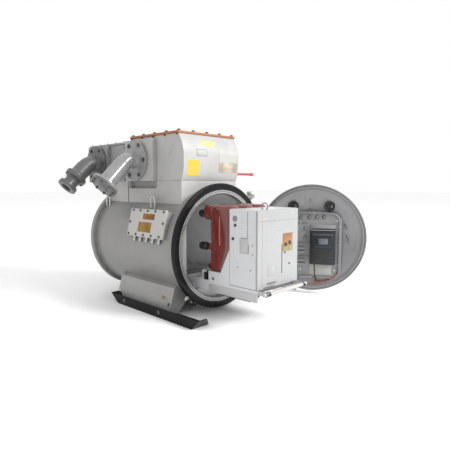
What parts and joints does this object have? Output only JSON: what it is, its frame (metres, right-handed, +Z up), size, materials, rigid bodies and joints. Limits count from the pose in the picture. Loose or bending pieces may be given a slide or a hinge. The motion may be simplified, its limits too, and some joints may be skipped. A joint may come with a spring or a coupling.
{
  "type": "flameproof switchgear cabinet",
  "caption": "Round flameproof switchgear cabinet on skids, with a swing door, a draw-out circuit breaker and two cable elbows.",
  "frame": {"origin": "on the floor under the tank's axis, at the middle of the four anchor holes in the skids", "axes": "+Z up, +Y from the door to the rear along the tank, +X to the right of a person who faces the door"},
  "size_m": [1.8372, 2.0621, 1.364],
  "materials": {
    "tank_grey": "satin light grey paint",
    "box_grey": "satin mid grey paint",
    "elbow_grey": "gloss grey paint on castings",
    "inner_grey": "matt light grey paint",
    "machined_steel": "turned",
    "plated_steel": "zinc plated",
    "ring_black": "satin black paint",
    "skid_black": "satin black paint",
    "cover_orange": "orange-red primer",
    "cover_white": "satin off-white paint",
    "lever_red": "gloss red paint",
    "door_grey": "satin grey paint",
    "panel_grey": "light grey plate",
    "port_black": "matt",
    "relay_case": "dark blue-grey, matt",
    "breaker_white": "smooth white paint",
    "epoxy_red": "cast epoxy resin",
    "contact_dark": "dark sleeve"
  },
  "bodies": {
    "cabinet": {"tank_shell": "tank_grey", "mouth_flange": "machined_steel", "locking_ring": "ring_black", "rear_flange": "tank_grey", "rear_cover": "tank_grey", "guide_rails": "inner_grey", "contact_plate": "inner_grey", "front_throat": "tank_grey", "rear_throat": "tank_grey", "front_box": "tank_grey", "front_box_cover": "cover_orange", "rear_box": "box_grey", "rear_box_cover": "box_grey", "front_elbow_pad": "tank_grey", "rear_elbow_pad": "box_grey", "front_elbow": "elbow_grey", "rear_elbow": "elbow_grey", "front_end_cover": "elbow_grey", "rear_gland": "elbow_grey", "terminal_box": "tank_grey", "terminal_box_cover": "cover_white", "terminal_glands": "plated_steel", "lifting_eyes": "tank_grey", "left_leg": "tank_grey", "right_leg": "tank_grey", "left_skid": "skid_black", "right_skid": "skid_black", "hinge_brackets": "tank_grey", "hinge_pin": "machined_steel", "earthing_lever": "lever_red"},
    "door": {"door_dish": "door_grey", "door_rim": "door_grey", "door_arms": "door_grey", "door_ports": "port_black", "instrument_panel": "panel_grey", "relay": "relay_case", "push_buttons": "port_black", "wire_duct": "panel_grey"},
    "truck": {"breaker_housing": "breaker_white", "breaker_front": "breaker_white", "breaker_poles": "epoxy_red", "contact_arms": "contact_dark", "truck_frame": "breaker_white", "truck_rollers": "plated_steel", "pull_bar": "breaker_white"}
  },
  "joints": [
    {"name": "door_swing", "type": "hinge", "parent": "cabinet", "child": "door", "pos_m": [0.505, -0.16, 0.499], "axis": [0, 0, 1], "range_deg": [-119, 0]},
    {"name": "truck_slide", "type": "slide", "parent": "cabinet", "child": "truck", "axis": [0, 1, 0], "range_m": [0, 0.701]}
  ],
  "couplings": [
    {"joint": "truck_slide", "follows": "door_swing", "m_per_rad": -0.33703}
  ]
}
